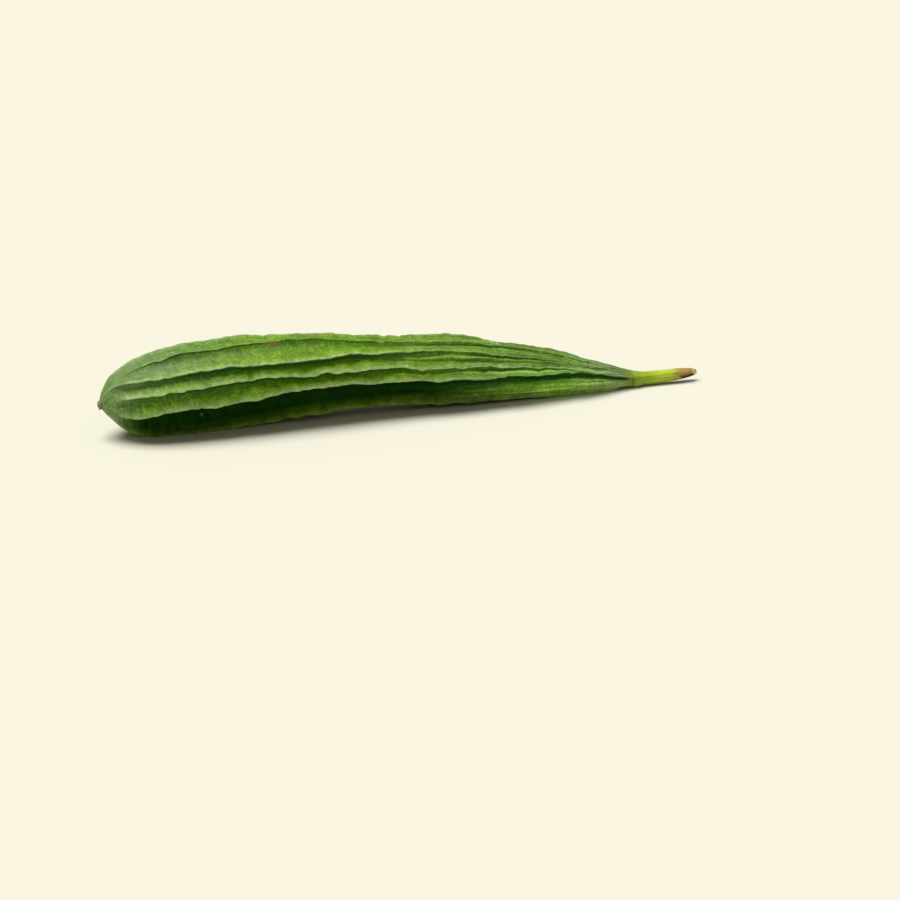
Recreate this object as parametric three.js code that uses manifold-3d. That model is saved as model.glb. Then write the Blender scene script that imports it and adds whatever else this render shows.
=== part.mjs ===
// An angled luffa as picked: one ribbed, gently arched fruit, its cut stem, and the dried remains of its flower.
// Millimetres. +X runs from the blossom end to the stem, +Z is up, -Y is the front.
// It lies with its belly on two ribs and its neck on one, and the origin is under the middle of the whole.
import * as THREE from "three";
import { mergeVertices } from "three/addons/utils/BufferGeometryUtils.js";
import Module from "manifold-3d";

const wasm = await Module();
wasm.setup();

// Fruit. Every radius is taken over the crests of the ribs.
const fruitLength = 300; // straight, from the blossom end to the stem end
const archRise = 12; // how far the arch of the centreline stands above its ends
const archAt = 0.38; // share of the length where it is steered highest
const sideBow = 3; // how far it stands behind its ends
const noseRadius = 2.6; // the dried flower sits on it
const noseTaper = 1.25; // 1 makes the blossom end round, more draws its nose out
const domeLength = 39; // from the nose to where the blossom end is almost full
const domeFullness = 0.985; // share of the belly's radius it has there
const bellyRadius = 24.3;
const waistRadius = 19.3;
const neckRadius = 19.6;
const collarRadius = 4.4; // the stem sits on it

// Where along the fruit those radii are, as shares of its length.
const bellyAt = 0.21;
const waistAt = 0.51;
const neckAt = 0.62;

// Ribs, by their angles in degrees from straight up, turning towards the front.
const ribAnglesAtBelly = [22, 54, 76, 101, 157, 203, 238, 272, 308, 343];
const ribAnglesAtNeck = [13, 38, 67, 87, 144, 203, 238, 270, 304, 338];
const twistFrom = 0.26; // shares of the length between which the ribs turn from one list to the other
const twistTo = 0.82;
const ribHeight = 3.3;
const ribFlank = 2.4; // how far from its crest a rib falls to about a third of its height
const flankPower = 1.29; // 1 is a knife edge, 2 a rounded ridge
const ribFadeIn = 14; // from the nose to where the ribs stand at full height
const ribFadeOut = 16; // the same at the stem end
const slimmestShare = 0.3; // a rib takes at most this share of the radius

// Stem and the dried flower.
const stemLength = 38;
const stemInset = 0.2; // how much slimmer than the collar its root is
const stemRadius = 4; // just past its root
const stemTipRadius = 1.7;
const stemRise = 4; // degrees above level that its outer end points
const stemBendAt = 0.18; // share of its length where it turns up
const stemCorners = 5; // it has blunt corners
const stemCornerShare = 0.06;
const flowerLength = 1.8;
const flowerInset = 0.3; // how much slimmer than the nose its root is
const flowerRadius = 2.4;
const flowerLobes = 5;
const flowerLobeShare = 0.1;
const seatGap = 0.3; // between the fruit and what sits on its ends

const restFlat = 0.5; // how far the ribs are pressed flat where the fruit lies on them

// Fineness of the meshes.
const phasesPerRib = [0, 0.09, 0.27, 0.5, 0.73, 0.91]; // columns between one crest and the next
const fruitRings = 56;
const stemColumns = 20;
const stemRings = 12;
const flowerColumns = 12;
const flowerRings = 8;

const ribCount = ribAnglesAtBelly.length;
const stemRootRadius = collarRadius - stemInset;
const flowerRootRadius = noseRadius - flowerInset;
const up = new THREE.Vector3(0, 0, 1);
const sideways = new THREE.Vector3(0, 1, 0);

const centreline = new THREE.QuadraticBezierCurve3(
  new THREE.Vector3(0, 0, 0),
  new THREE.Vector3(archAt * fruitLength, 2 * sideBow, 2 * archRise),
  new THREE.Vector3(fruitLength, 0, 0),
);

// Point of the blossom end's dome, from its nose at 0 to its full width at 1.
function domePoint(share) {
  const turn = (share * Math.PI) / 2;
  const radius = noseRadius + (bellyRadius * domeFullness - noseRadius) * Math.sin(turn) ** noseTaper;
  return new THREE.Vector2(radius, domeLength * (1 - Math.cos(turn)));
}

// Half outline of the fruit: x is the radius over the crests and y the distance along the centreline.
function fruitOutline() {
  const at = (share, radius) => new THREE.Vector2(radius, share * fruitLength);
  const hipAt = (bellyAt + waistAt) / 2;
  const taperFrom = neckAt + (1 - neckAt) * 0.22;
  const throatAt = neckAt + (1 - neckAt) * 0.85;
  return new THREE.SplineCurve([
    domePoint(0),
    domePoint(0.22),
    domePoint(0.45),
    domePoint(0.7),
    domePoint(1),
    at(bellyAt, bellyRadius),
    at(hipAt - 0.07, bellyRadius * 0.975),
    at(hipAt + 0.02, (bellyRadius + waistRadius) / 2),
    at(waistAt, waistRadius),
    at(neckAt, neckRadius),
    at(taperFrom, neckRadius * 0.93),
    at((taperFrom + throatAt) / 2, neckRadius * 0.74),
    at(throatAt, neckRadius * 0.4),
    at((throatAt + 1) / 2, (neckRadius * 0.4 + collarRadius) / 2 - 0.3),
    at(1, collarRadius),
  ]);
}

// Directions across the fruit at a share of its length: up, and towards the front.
function sectionAxes(curve, share) {
  const along = curve.getTangentAt(share);
  const upward = up.clone().addScaledVector(along, -up.dot(along)).normalize();
  return { upward, frontward: new THREE.Vector3().crossVectors(along, upward) };
}

// Angle of a rib's crest at a share of the length. Ribs are counted on past the last one, so that they go round.
function ribAngle(rib, share) {
  const turned = THREE.MathUtils.smoothstep(share, twistFrom, twistTo);
  const n = rib % ribCount;
  const degrees = THREE.MathUtils.lerp(ribAnglesAtBelly[n], ribAnglesAtNeck[n], turned);
  return THREE.MathUtils.degToRad(degrees + 360 * Math.floor(rib / ribCount));
}

// How much of a rib's height is left at an arc distance from its crest.
function flankShare(distance, flank) {
  return Math.exp(-((distance / flank) ** flankPower));
}

// Angle and radius of one column of the fruit's skin.
function fruitSection(along, crestRadius, column) {
  const share = along / fruitLength;
  const rib = Math.floor(column / phasesPerRib.length);
  const phase = phasesPerRib[column % phasesPerRib.length];
  const crests = [ribAngle(rib, share), ribAngle(rib + 1, share)];
  const angle = THREE.MathUtils.lerp(...crests, phase);
  const fade =
    THREE.MathUtils.smoothstep(along, 0, ribFadeIn) *
    THREE.MathUtils.smoothstep(fruitLength - along, -ribFadeOut, ribFadeOut);
  const height = Math.min(ribHeight * fade, slimmestShare * crestRadius);
  const flank = ribFlank * (0.35 + (0.65 * crestRadius) / bellyRadius);
  const risen = crests.map((crest) => flankShare(crestRadius * Math.abs(angle - crest), flank));
  return { angle, radius: crestRadius - height * (1 - Math.min(1, risen[0] + risen[1])) };
}

// Angle and radius of one column of the stem, whose corners fade towards the fruit.
function stemSection(along, radius, column) {
  const angle = (2 * Math.PI * column) / stemColumns;
  const corners = stemCornerShare * Math.min(1, along / stemRootRadius);
  return { angle, radius: radius * (1 + corners * Math.cos(stemCorners * angle)) };
}

// Angle and radius of one column of the dried flower, whose lobes fade towards the fruit.
function flowerSection(along, radius, column) {
  const angle = (2 * Math.PI * column) / flowerColumns;
  const lobes = flowerLobeShare * Math.min(1, along / flowerRootRadius);
  return { angle, radius: radius * (1 + lobes * Math.cos(flowerLobes * angle)) };
}

// Turns an outline about the Y axis, gives each ring its section, and carries the rings along a curve.
function ringsAlong(curve, length, outlinePoints, columns, section) {
  const geometry = new THREE.LatheGeometry(outlinePoints, columns);
  const position = geometry.getAttribute("position");
  const ringCount = outlinePoints.length;
  for (let i = 0; i < position.count; i++) {
    const ring = outlinePoints[i % ringCount];
    const column = Math.floor(i / ringCount) % columns;
    const share = ring.y / length;
    const { upward, frontward } = sectionAxes(curve, share);
    const { angle, radius } = section(ring.y, ring.x, column);
    const point = curve
      .getPointAt(share)
      .addScaledVector(upward, radius * Math.cos(angle))
      .addScaledVector(frontward, radius * Math.sin(angle));
    position.setXYZ(i, point.x, point.y, point.z);
  }
  return geometry;
}

// Outline points of a closed body: on the axis, along the side, and back on the axis.
function closedOutline(side) {
  return [new THREE.Vector2(0, side[0].y), ...side, new THREE.Vector2(0, side[side.length - 1].y)];
}

function solidOf(geometry) {
  const bare = geometry.clone();
  bare.deleteAttribute("normal");
  bare.deleteAttribute("uv");
  const merged = mergeVertices(bare, 1e-4);
  return new wasm.Manifold(
    new wasm.Mesh({
      numProp: 3,
      vertProperties: merged.getAttribute("position").array,
      triVerts: new Uint32Array(merged.index.array),
    }),
  );
}

function geometryOf(solid) {
  const { vertProperties, triVerts } = solid.getMesh();
  const geometry = new THREE.BufferGeometry();
  geometry.setAttribute("position", new THREE.BufferAttribute(vertProperties, 3));
  geometry.setIndex(new THREE.BufferAttribute(triVerts, 1));
  geometry.computeVertexNormals();
  return geometry;
}

// Lowest point of each half of a shape, blossom half first, once it is turned about Y by a tilt.
function lowestOfHalves(geometry, tilt) {
  const position = geometry.getAttribute("position");
  const lowest = [new THREE.Vector3(0, 0, Infinity), new THREE.Vector3(0, 0, Infinity)];
  for (let i = 0; i < position.count; i++) {
    const point = new THREE.Vector3().fromBufferAttribute(position, i);
    const half = point.x < fruitLength / 2 ? 0 : 1;
    point.applyAxisAngle(sideways, tilt);
    if (point.z < lowest[half].z) lowest[half].copy(point);
  }
  return lowest;
}

// Tilt that brings the belly and the neck down to one level.
function restingTilt(geometry) {
  let tilt = 0;
  for (let round = 0; round < 12; round++) {
    const [belly, neck] = lowestOfHalves(geometry, tilt);
    tilt += Math.atan2(neck.z - belly.z, neck.x - belly.x);
  }
  return tilt;
}

// The fruit before it is pressed flat where it rests.
function fruitShape() {
  const side = fruitOutline().getPoints(fruitRings);
  const columns = ribCount * phasesPerRib.length;
  return ringsAlong(centreline, fruitLength, closedOutline(side), columns, fruitSection);
}

// Takes off what lies under the floor once a shape is tilted.
function pressedFlat(geometry, tilt, floorLevel) {
  const slab = new THREE.BoxGeometry(2 * fruitLength, 4 * bellyRadius, 4 * bellyRadius);
  slab.translate(fruitLength / 2, 0, floorLevel - 2 * bellyRadius).rotateY(-tilt);
  return geometryOf(solidOf(geometry).subtract(solidOf(slab)));
}

// The stem, from just clear of the fruit. It starts along the fruit and turns up, away from the floor.
function stemShape(tilt) {
  const leaving = centreline.getTangentAt(1);
  const lifted = new THREE.Vector3(1, 0, 0).applyAxisAngle(sideways, -tilt - THREE.MathUtils.degToRad(stemRise));
  const root = centreline.getPointAt(1).addScaledVector(leaving, seatGap);
  const bend = root.clone().addScaledVector(leaving, stemBendAt * stemLength);
  const tip = bend.clone().addScaledVector(lifted, (1 - stemBendAt) * stemLength);
  const path = new THREE.QuadraticBezierCurve3(root, bend, tip);
  const side = new THREE.SplineCurve([
    new THREE.Vector2(stemRootRadius, 0),
    new THREE.Vector2(stemRadius, stemLength * 0.26),
    new THREE.Vector2(stemRadius * 0.86, stemLength * 0.5),
    new THREE.Vector2((stemRadius + stemTipRadius) / 2, stemLength * 0.72),
    new THREE.Vector2(stemTipRadius, stemLength),
  ]).getPoints(stemRings);
  return ringsAlong(path, stemLength, closedOutline(side), stemColumns, stemSection);
}

// The dried flower, from just clear of the nose and pointing away from the fruit.
function flowerShape() {
  const outward = centreline.getTangentAt(0).negate();
  const root = centreline.getPointAt(0).addScaledVector(outward, seatGap);
  const path = new THREE.LineCurve3(root, root.clone().addScaledVector(outward, flowerLength));
  const side = new THREE.SplineCurve([
    new THREE.Vector2(flowerRootRadius, 0),
    new THREE.Vector2(flowerRootRadius * 0.9, flowerLength * 0.3),
    new THREE.Vector2(flowerRadius, flowerLength * 0.7),
    new THREE.Vector2(flowerRadius * 0.5, flowerLength),
  ]).getPoints(flowerRings);
  return ringsAlong(path, flowerLength, closedOutline(side), flowerColumns, flowerSection);
}

function namedMesh(name, geometry, color, roughness) {
  const mesh = new THREE.Mesh(geometry, new THREE.MeshStandardMaterial({ color, roughness, metalness: 0 }));
  mesh.name = name;
  return mesh;
}

const wholeFruit = fruitShape();
const tilt = restingTilt(wholeFruit);
const floorLevel = lowestOfHalves(wholeFruit, tilt)[0].z + restFlat;

// Everything is made along the untilted centreline, and the group tips it onto its resting ribs.
const resting = new THREE.Group();
resting.rotation.y = tilt;
resting.add(
  namedMesh("fruit", pressedFlat(wholeFruit, tilt, floorLevel), "#4c8a2f", 0.62),
  namedMesh("stem", pressedFlat(stemShape(tilt), tilt, floorLevel), "#9bb03a", 0.6),
  namedMesh("dried_flower", flowerShape(), "#5d5237", 0.9),
);

const luffa = new THREE.Group();
luffa.add(resting);
const bounds = new THREE.Box3().setFromObject(luffa, true);
const middle = bounds.getCenter(new THREE.Vector3());
resting.position.set(-middle.x, -middle.y, -bounds.min.z);

export default luffa;
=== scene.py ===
import bpy
import numpy as np
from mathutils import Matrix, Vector


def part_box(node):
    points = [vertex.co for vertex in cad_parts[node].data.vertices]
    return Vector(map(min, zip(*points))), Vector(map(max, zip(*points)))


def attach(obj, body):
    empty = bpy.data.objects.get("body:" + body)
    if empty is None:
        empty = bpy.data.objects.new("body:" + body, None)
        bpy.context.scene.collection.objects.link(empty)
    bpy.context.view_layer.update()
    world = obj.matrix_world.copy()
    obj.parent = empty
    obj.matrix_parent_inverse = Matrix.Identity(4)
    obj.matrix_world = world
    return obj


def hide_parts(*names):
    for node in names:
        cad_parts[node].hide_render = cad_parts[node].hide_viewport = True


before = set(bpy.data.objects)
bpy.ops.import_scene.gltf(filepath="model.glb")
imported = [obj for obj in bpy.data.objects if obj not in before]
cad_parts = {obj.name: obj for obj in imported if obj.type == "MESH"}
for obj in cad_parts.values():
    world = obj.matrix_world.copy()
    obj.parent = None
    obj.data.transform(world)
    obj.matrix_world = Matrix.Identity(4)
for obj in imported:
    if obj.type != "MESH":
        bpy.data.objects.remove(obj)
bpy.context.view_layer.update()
mm = 0.001


def rampUp(x, start, end):
    # 0 before start, 1 after end, and an S-shaped rise between: 3t^2 - 2t^3
    t = np.clip((x - start) / (end - start), 0.0, 1.0)
    return t * t * (3.0 - 2.0 * t)


def bump(x, middle, width):
    # a bell: exp(-(distance / width)^2)
    return np.exp(-(((x - middle) / width) ** 2))


def wander(x, step, seed):
    # smooth random curve between -1 and 1: random heights every step, joined by S-shaped rises
    knots = np.random.default_rng(seed).uniform(-1.0, 1.0, 4096)
    cell = np.floor(x / step).astype(int)
    t = rampUp(x / step - cell, 0.0, 1.0)
    return knots[cell % 4096] * (1.0 - t) + knots[(cell + 1) % 4096] * t


def patches(x, turn, step, around, seed):
    # the same over a surface: random heights every step along it and at a whole number of places around it
    knots = np.random.default_rng(seed).uniform(-1.0, 1.0, (1024, around))
    cellX = np.floor(x / step).astype(int)
    placeY = turn * around
    cellY = np.floor(placeY).astype(int)
    tx, ty = rampUp(x / step - cellX, 0.0, 1.0), rampUp(placeY - cellY, 0.0, 1.0)
    near, far = cellX % 1024, (cellX + 1) % 1024
    left, right = cellY % around, (cellY + 1) % around
    first = knots[near, left] * (1.0 - ty) + knots[near, right] * ty
    second = knots[far, left] * (1.0 - ty) + knots[far, right] * ty
    return first * (1.0 - tx) + second * tx


def curveThrough(points, count):
    # Smooth curve through points, with an equal number of steps between each two: cubics whose slope at a
    # point is half the way from the one before it to the one after.
    points = np.array(points, float)
    t = np.linspace(0.0, len(points) - 1.0, count)
    i = np.minimum(t.astype(int), len(points) - 2)
    w = (t - i)[:, None]
    p0, p1 = points[np.maximum(i - 1, 0)], points[i]
    p2, p3 = points[i + 1], points[np.minimum(i + 2, len(points) - 1)]
    out, back = (p2 - p0) / 2.0, (p3 - p1) / 2.0
    return (2 * p1 - 2 * p2 + out + back) * w**3 + (3 * p2 - 3 * p1 - 2 * out - back) * w**2 + out * w + p1


def arch(start, steer, end, shares):
    # (1 - t)^2 start + 2 t (1 - t) steer + t^2 end, and its direction, at these shares of its length
    t = np.linspace(0.0, 1.0, 4001)[:, None]
    places = (1 - t) ** 2 * start + 2 * t * (1 - t) * steer + t**2 * end
    ways = 2 * (1 - t) * (steer - start) + 2 * t * (end - steer)
    gone = np.append(0.0, np.cumsum(np.linalg.norm(np.diff(places, axis=0), axis=1)))
    gone /= gone[-1]
    pick = lambda table: np.stack([np.interp(shares, gone, table[:, k]) for k in range(3)], -1)
    way = pick(ways)
    return pick(places), way / np.linalg.norm(way, axis=-1, keepdims=True)


def outFrom(way, angle):
    # directions out from a curve that runs this way, with the angle round from the top towards the front:
    # cos(angle) upward + sin(angle) frontward
    upward = np.array([0.0, 0.0, 1.0]) - way * way[..., 2:3]
    upward /= np.linalg.norm(upward, axis=-1, keepdims=True)
    frontward = np.cross(way, upward)
    rise, aside = np.cos(angle)[..., None], np.sin(angle)[..., None]
    return rise * upward[..., None, :] + aside * frontward[..., None, :]


def tipped(points, tilt):
    # turned about the Y axis: x cos + z sin, y, z cos - x sin
    x, y, z = points[..., 0], points[..., 1], points[..., 2]
    return np.stack([x * np.cos(tilt) + z * np.sin(tilt), y, z * np.cos(tilt) - x * np.sin(tilt)], -1)


def newObject(name, data):
    # an object in the scene that shows this data
    thing = bpy.data.objects.new(name, data)
    bpy.context.scene.collection.objects.link(thing)
    return thing


def closedSurface(name, grid, poles):
    # rings of points joined to the next ring and round, with a fan of triangles to a point at each end
    rings, columns = grid.shape[:2]
    points = np.concatenate([grid.reshape(-1, 3), poles]).astype(np.float32)
    ring, column = np.meshgrid(np.arange(rings - 1), np.arange(columns), indexing="ij")
    after = (column + 1) % columns
    near, far = ring * columns, (ring + 1) * columns
    quads = np.stack([near + column, near + after, far + after, far + column], -1).reshape(-1, 4)
    around = np.arange(columns)
    following = (around + 1) % columns
    last = (rings - 1) * columns
    firstFan = np.stack([following, around, np.full(columns, rings * columns)], -1)
    lastFan = np.stack([last + around, last + following, np.full(columns, rings * columns + 1)], -1)
    corners = np.concatenate([quads.ravel(), firstFan.ravel(), lastFan.ravel()]).astype(np.int32)
    sizes = np.concatenate([np.full(len(quads), 4), np.full(2 * columns, 3)])
    starts = np.append(0, np.cumsum(sizes)[:-1]).astype(np.int32)
    mesh = bpy.data.meshes.new(name)
    mesh.vertices.add(len(points))
    mesh.vertices.foreach_set("co", points.ravel())
    mesh.loops.add(len(corners))
    mesh.loops.foreach_set("vertex_index", corners)
    mesh.polygons.add(len(starts))
    mesh.polygons.foreach_set("loop_start", starts)
    mesh.update(calc_edges=True)
    mesh.validate()
    mesh.shade_smooth()
    return newObject(name, mesh)


def unrolled(along, turn, radius):
    # the same place on a straight tube: along, radius cos(turn), radius sin(turn)
    return np.stack([along, radius * np.cos(turn), radius * np.sin(turn)], -1) * mm


def note(piece, name, values):
    # keeps a number for each point of a piece's grid, or a place of three, for its material to read
    kind, entry = ("FLOAT_VECTOR", "vector") if values.ndim == 3 else ("FLOAT", "value")
    ends = np.stack([values[0].mean(0), values[-1].mean(0)])
    flat = np.concatenate([values.reshape(-1, *values.shape[2:]), ends]).astype(np.float32)
    piece.data.attributes.new(name, kind, "POINT").data.foreach_set(entry, flat.ravel())


# Shape of the fruit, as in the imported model, in millimetres, degrees and shares of its length.
fruit = {
    "length": 300.0,
    "archRise": 12.0,
    "archAt": 0.38,
    "sideBow": 3.0,
    "noseRadius": 2.6,
    "noseTaper": 1.25,
    "domeLength": 39.0,
    "domeFullness": 0.985,
    "bellyRadius": 24.3,
    "waistRadius": 19.3,
    "neckRadius": 19.6,
    "collarRadius": 4.4,
    "bellyAt": 0.21,
    "waistAt": 0.51,
    "neckAt": 0.62,
    "ribAnglesAtBelly": [22, 54, 76, 101, 157, 203, 238, 272, 308, 343],
    "ribAnglesAtNeck": [13, 38, 67, 87, 144, 203, 238, 270, 304, 338],
    "twistFrom": 0.26,
    "twistTo": 0.82,
    "ribHeight": 3.3,
    "ribFlank": 2.4,
    "flankPower": 1.29,
    "ribFadeIn": 14.0,
    "ribFadeOut": 16.0,
    "slimmestShare": 0.3,
    "restFlat": 0.5,
}

# The skin's own detail, in millimetres.
skin = {
    "rings": 396,
    "columnsPerRib": 24,
    "crowding": 0.7,  # 0 spaces the columns evenly, and near 1 they crowd to the crests
    "crestRounding": 0.28,
    "crestLine": [0.55, 0.7, 0.8, 0.8, 1.5, 1.0, 0.8, 0.8, 0.8, 0.7],  # half width of each crest's pale line
    "bellyPale": [0.2, 0.85, 1.0, 1.0, 1.0, 0.9, 0.9, 0.9, 0.8, 0.7],  # how strong that line is
    "neckPale": [0.5, 0.4, 0.5, 0.7, 0.8, 0.7, 0.6, 0.6, 0.5, 0.5],
    "droop": 1.3,  # how far the ribs at the sides hang down
    "lean": 0.42,  # how much steeper their lower flanks are than their upper ones
    "bellyRibs": [0.75, 1.2, 1.15, 1.3, 1.0, 1.0, 1.05, 0.95, 1.05, 0.95],  # of the rib height, rib by rib
    "neckRibs": [0.36, 0.4, 0.8, 1.5, 1.05, 1.0, 1.05, 0.95, 1.05, 0.95],
    "bellyLee": [2.0, 1.0, 1.0, 1.1, 0.8, 0.8, 1.0, 1.0, 0.9, 0.8],  # how strong the painted shadow beneath each rib is
    "neckLee": [0.15, 0.2, 0.6, 1.5, 0.6, 0.6, 0.7, 0.7, 0.7, 0.6],
    "bellyLeeWidth": [0.55, 1.8, 1.8, 3.2, 2.0, 2.0, 1.8, 1.8, 1.6, 1.6],
    "neckLeeWidth": [0.7, 1.0, 1.3, 4.6, 1.6, 1.6, 1.6, 1.6, 1.4, 1.4],
    "shadedRibs": (3, 7),  # the faces between these two, underneath, get painted shade
    "unevenness": [0.8, 1.0, 1.7, 1.2, 1.3, 1.1, 1.0, 1.2, 1.0, 0.9],  # how ragged each crest is
    # degrees that some ribs stray from their usual angle at these places along
    "strayAt": [0, 25, 60, 105, 155, 210, 255, 300],
    "stray": {
        0: [-30, -4, -3, -6, -3, 0, 0, 0],
        1: [-26, -4, -1, 0, -6, 1, 0, 0],
        2: [-8, -7, -2, -4, -2, -5, -6, -7],
        3: [14, -5, -4, -11, -4, -7, -16, -16],
        4: [10, 6, 0, 0, 3, 0, -4, -4],
        8: [4, 6, 0, -4, 0, 3, 0, 0],
    },
    "noseSmooth": 13.0,  # the ribs are fully up this far from the blossom end
    "noseCap": (0.75, 0.35),  # rings that close the nose, as shares of the way in
    "noseLift": 2.0,  # how far the tip is turned up, and over what length
    "noseLiftLength": 18.0,
    "nosePinch": 1.3,  # how much slimmer the nose is just behind its tip
    "faintRib": 0,  # this one fades out sooner, this far from the blossom end
    "faintUntil": 42.0,
    # step and size of the crests' sideways waves
    "wobble": [(38.0, 0.7), (13.0, 0.45), (5.5, 0.34), (2.6, 0.2)],
    "ragged": [(17.0, 0.22), (6.0, 0.34), (2.7, 0.28)],  # the same up and down
    "nicksPerRib": 6,
    "lumps": [(34.0, 9, 0.35), (13.0, 22, 0.16), (5.0, 60, 0.06)],  # step, places around, height
    "wrinkles": 90,  # fine lengthwise folds of the neck
    "wrinkleHeight": 0.5,
    "wrinkleWidth": 0.62,
    # lesser ridges between the ribs: the rib above and how far on towards the next, start, end, height, width
    "ridges": [(0, 0.5, 185, 292, 0.5, 1.2), (1, 0.45, 150, 290, 0.8, 1.1), (2, 0.55, 175, 285, 0.6, 0.9),
               (3, 0.34, 140, 290, 0.9, 1.3), (3, 0.62, 165, 292, 0.7, 1.1), (9, 0.5, 180, 290, 0.6, 1.2),
               (4, 0.5, 150, 285, 0.8, 1.3), (5, 0.45, 160, 290, 0.7, 1.2), (7, 0.5, 140, 285, 0.8, 1.2),
               (0, 0.25, 205, 296, 0.4, 0.7), (0, 0.75, 212, 290, 0.45, 0.7), (1, 0.72, 200, 296, 0.5, 0.7),
               (2, 0.28, 205, 294, 0.45, 0.6), (3, 0.8, 190, 280, 0.5, 0.8), (9, 0.75, 206, 296, 0.5, 0.8)],
    "brokenRib": 9,  # this rib breaks off on the neck and comes up again
    "brokenAt": 206.0,
    "brokenShare": 0.6,
    "swollenRib": 4,  # this one is swollen near the stem
    "swelling": 1.4,
    # marks: place along, the rib above and how far on towards the next, length, width, strength
    "brownMarks": [
        (91, 0, 0.05, 3.0, 1.3, 0.7), (159, 1, -0.02, 1.3, 0.6, 0.9), (161, 1, 0.06, 0.8, 0.5, 0.8),
        (219, 9, 0.3, 3.2, 2.3, 1.0), (213, 9, 0.2, 3.0, 1.6, 0.8), (226, 9, 0.2, 4.0, 1.2, 0.8),
        (120, 9, 0.1, 9.0, 0.6, 0.5), (243, 6, 0.3, 3.0, 1.5, 0.7), (70, 7, 0.5, 4.0, 2.0, 0.5),
    ],
    "paleMarks": [
        (214, 9, 0.45, 0.8, 1.2, 0.8), (217, 9, 0.55, 0.7, 1.2, 0.7), (38, 9, 0.55, 0.5, 0.4, 0.8),
        (41, 9, 0.52, 0.6, 0.4, 0.8), (161, 2, 0.0, 0.6, 0.4, 0.9), (214, 2, 0.0, 0.8, 0.4, 0.9),
        (48, 3, 0.3, 0.35, 0.3, 0.25), (54, 3, 0.34, 0.35, 0.3, 0.25),
    ],
    "changeSpan": (120, 200),  # where the ribs go from the belly's values above to the neck's
    "neckSpan": (170, 235),  # where the neck's colours come in on the whole, and where painted light comes in on its lower side
    "lowNeckSpan": (190, 230),
    "lineShares": (0.5, 1.4),  # a crest's pale line below and above it, as shares of its half width
    "fullLeeRadius": 17.0,  # a slimmer fruit than this has less painted shadow beneath its ribs
    "unrolledRadius": 22.0,  # of the straight tube that the skin's mottling is laid out on
    "tongue": 1.4,  # how far the skin runs out over the foot of the stem, on average, and from how far back
    "tongueRoot": 9.0,
    "seed": 11,
}


def girth(f):
    # Radius over the crests and distance along the fruit: a rounded nose, the belly, the waist, the neck and
    # a taper. The nose's radius is nose + full sin(turn)^taper, at a distance of dome (1 - cos(turn)).
    turn = np.array([0.0, 0.22, 0.45, 0.7, 1.0]) * np.pi / 2
    belly, waist, neck = f["bellyRadius"], f["waistRadius"], f["neckRadius"]
    full = belly * f["domeFullness"] - f["noseRadius"]
    domeRadius = f["noseRadius"] + full * np.sin(turn) ** f["noseTaper"]
    dome = np.stack([domeRadius, f["domeLength"] * (1 - np.cos(turn))], -1)
    hipAt = (f["bellyAt"] + f["waistAt"]) / 2
    taperFrom = f["neckAt"] + (1 - f["neckAt"]) * 0.22
    throatAt = f["neckAt"] + (1 - f["neckAt"]) * 0.85
    rest = [
        (belly, f["bellyAt"]),
        (belly * 0.975, hipAt - 0.07),
        ((belly + waist) / 2, hipAt + 0.02),
        (waist, f["waistAt"]),
        (neck, f["neckAt"]),
        (neck * 0.93, taperFrom),
        (neck * 0.74, (taperFrom + throatAt) / 2),
        (neck * 0.4, throatAt),
        ((neck * 0.4 + f["collarRadius"]) / 2 - 0.3, (throatAt + 1) / 2),
        (f["collarRadius"], 1.0),
    ]
    return curveThrough(np.concatenate([dome, np.array(rest) * [1.0, f["length"]]]), 8001)


def fruitCurve(f, share):
    # places and directions along the fruit's middle, an arch from nose to collar that also bows sideways
    steer = np.array([f["archAt"] * f["length"], 2 * f["sideBow"], 2 * f["archRise"]])
    return arch(np.zeros(3), steer, np.array([f["length"], 0.0, 0.0]), share)


def crestAngles(f, share):
    # by ring and rib, from the belly's angles to the neck's, with the first rib again after the last
    turned = rampUp(share, f["twistFrom"], f["twistTo"])[:, None]
    angles = (1 - turned) * np.array(f["ribAnglesAtBelly"]) + turned * np.array(f["ribAnglesAtNeck"])
    return np.radians(np.concatenate([angles, angles[:, :1] + 360.0], 1))


def wavesOf(x, waves, seed):
    # sum of size times a wandering curve, over each pair of step and size
    return sum(size * wander(x, step, seed + 7 * n) for n, (step, size) in enumerate(waves))


def crestUnevenness(f, s, along):
    # By ring and rib: how far each crest waves sideways, and how far it stands above its usual height. Both
    # are sums of waves, and nicks of bell shape are taken off the height.
    ribs = len(f["ribAnglesAtBelly"])
    random = np.random.default_rng(s["seed"])
    sideways = np.stack([wavesOf(along, s["wobble"], s["seed"] + 100 * k) for k in range(ribs)], 1)
    upDown = np.stack([wavesOf(along, s["ragged"], s["seed"] + 100 * k + 50) for k in range(ribs)], 1)
    for k in range(ribs):
        for place in random.uniform(25, f["length"] - 25, s["nicksPerRib"]):
            upDown[:, k] -= random.uniform(0.35, 1.0) * bump(along, place, random.uniform(0.8, 2.2))
    sideways, upDown = sideways * np.array(s["unevenness"]), upDown * np.array(s["unevenness"])
    fade = (rampUp(along, 4, 30) * rampUp(f["length"] - along, 2, 30))[:, None]
    return sideways * fade, upDown * fade


def awayFrom(crest, angle, radius, rib, part, shift=0.0):
    # each point's distance around the fruit from a line that is part of the way from a rib to the next
    path = crest[:, rib] * (1 - part) + crest[:, rib + 1] * part + shift
    return np.angle(np.exp(1j * (angle - path[:, None]))) * radius[:, None]


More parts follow.
